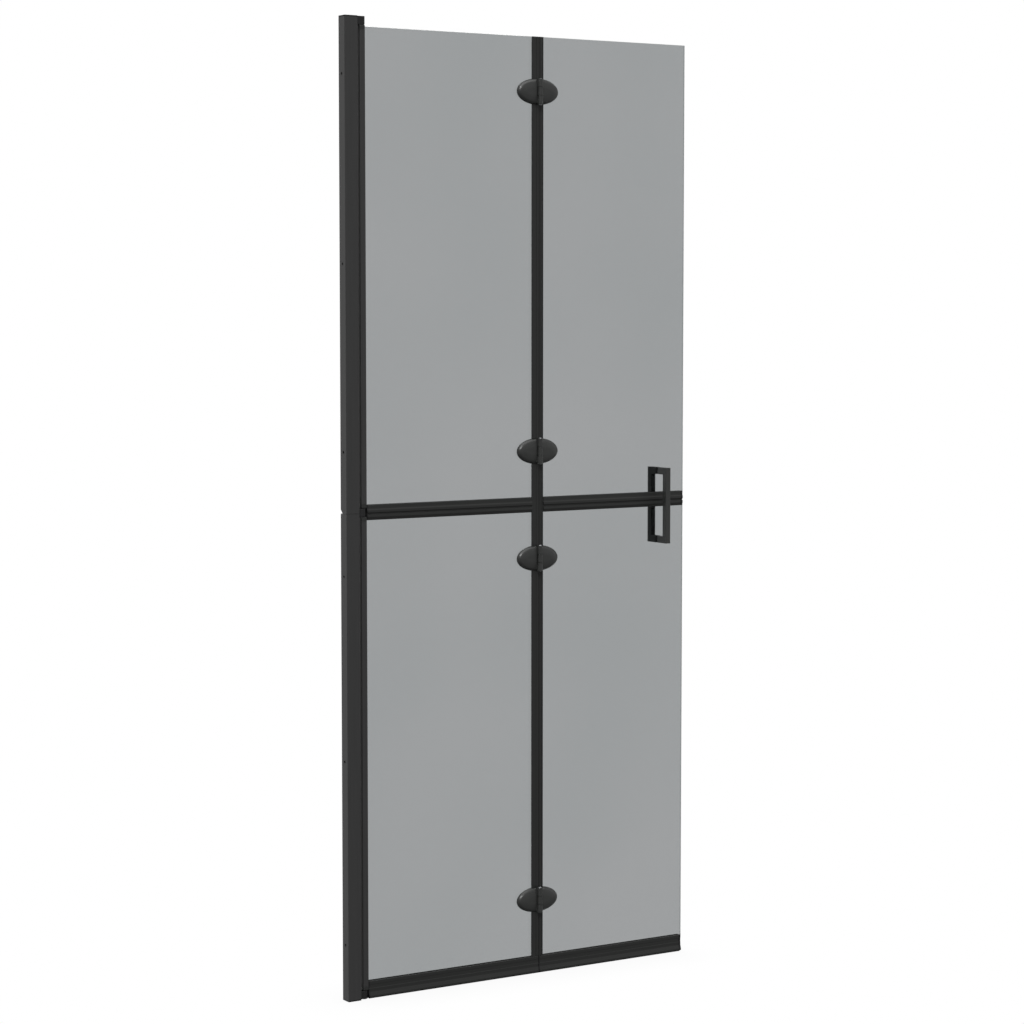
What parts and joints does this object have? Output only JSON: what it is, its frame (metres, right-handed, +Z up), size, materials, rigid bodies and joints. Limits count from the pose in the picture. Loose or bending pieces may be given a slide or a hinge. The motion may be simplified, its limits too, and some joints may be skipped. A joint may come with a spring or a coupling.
{
  "type": "walk-in shower screen",
  "caption": "Folding walk-in shower screen: smoked glass panes in black rails, a pivoting wall profile, oval fold hinges and a handle through the glass.",
  "frame": {"origin": "bottom of the wall profile's wall face, on the middle plane of the glass", "axes": "+X from the wall along the screen, +Z up, -Y the side of the fold pins and the bather's view in the picture"},
  "size_m": [0.8, 0.068, 1.9],
  "materials": {
    "black_powder_coat": "matt black powder coat on aluminium",
    "black_plastic": "matt black moulded plastic",
    "black_rubber": "matt black seal",
    "steel": "brushed stainless steel",
    "smoked_glass": "clear smoked grey toughened glass, 6 mm"
  },
  "bodies": {
    "wall_side": {"wall_profile_upper": "black_powder_coat", "wall_profile_lower": "black_powder_coat", "profile_joiner": "steel", "top_pivot_block": "black_plastic", "middle_pivot_block": "black_plastic", "bottom_pivot_block": "black_plastic", "top_pivot_pin": "steel", "middle_pivot_pin": "steel", "bottom_pivot_pin": "steel", "profile_screws": "steel", "swing_seal_upper": "black_rubber", "swing_seal_lower": "black_rubber"},
    "inner_leaf": {"hinge_post_upper": "black_powder_coat", "hinge_post_lower": "black_powder_coat", "pivot_bushes": "black_plastic", "post_gasket_upper": "black_rubber", "post_gasket_lower": "black_rubber", "glass_upper_inner": "smoked_glass", "glass_lower_inner": "smoked_glass", "mid_rail_inner": "black_powder_coat", "mid_rail_gaskets_inner": "black_rubber", "bottom_rail_inner": "black_powder_coat", "bottom_rail_gasket_inner": "black_rubber", "rail_caps_inner": "black_plastic", "wiper_inner": "black_rubber", "fold_stile_inner": "black_powder_coat", "hinge_1_inner_leaf": "black_powder_coat", "hinge_2_inner_leaf": "black_powder_coat", "hinge_3_inner_leaf": "black_powder_coat", "hinge_4_inner_leaf": "black_powder_coat", "hinge_pins": "steel", "hinge_washers": "black_plastic", "hinge_back_plates_inner": "black_powder_coat", "hinge_pads_inner": "black_rubber", "hinge_screws_inner": "steel", "hinge_bushes_inner": "black_plastic"},
    "outer_leaf": {"glass_upper_outer": "smoked_glass", "glass_lower_outer": "smoked_glass", "mid_rail_outer": "black_powder_coat", "mid_rail_gaskets_outer": "black_rubber", "bottom_rail_outer": "black_powder_coat", "bottom_rail_gasket_outer": "black_rubber", "rail_caps_outer": "black_plastic", "wiper_outer": "black_rubber", "fold_stile_outer": "black_powder_coat", "hinge_1_outer_leaf": "black_powder_coat", "hinge_2_outer_leaf": "black_powder_coat", "hinge_3_outer_leaf": "black_powder_coat", "hinge_4_outer_leaf": "black_powder_coat", "hinge_back_plates_outer": "black_powder_coat", "hinge_pads_outer": "black_rubber", "hinge_screws_outer": "steel", "hinge_bushes_outer": "black_plastic", "handle_front": "black_powder_coat", "handle_back": "black_powder_coat", "handle_studs": "steel", "handle_pads": "black_rubber", "handle_bushes": "black_plastic"}
  },
  "joints": [
    {"name": "wall_pivot", "type": "hinge", "parent": "wall_side", "child": "inner_leaf", "pos_m": [0.0397, 0, 0], "axis": [0, 0, 1], "range_deg": [-90, 90]},
    {"name": "fold", "type": "hinge", "parent": "inner_leaf", "child": "outer_leaf", "pos_m": [0.44, -0.015, 0], "axis": [0, 0, -1], "range_deg": [0, 175]}
  ]
}
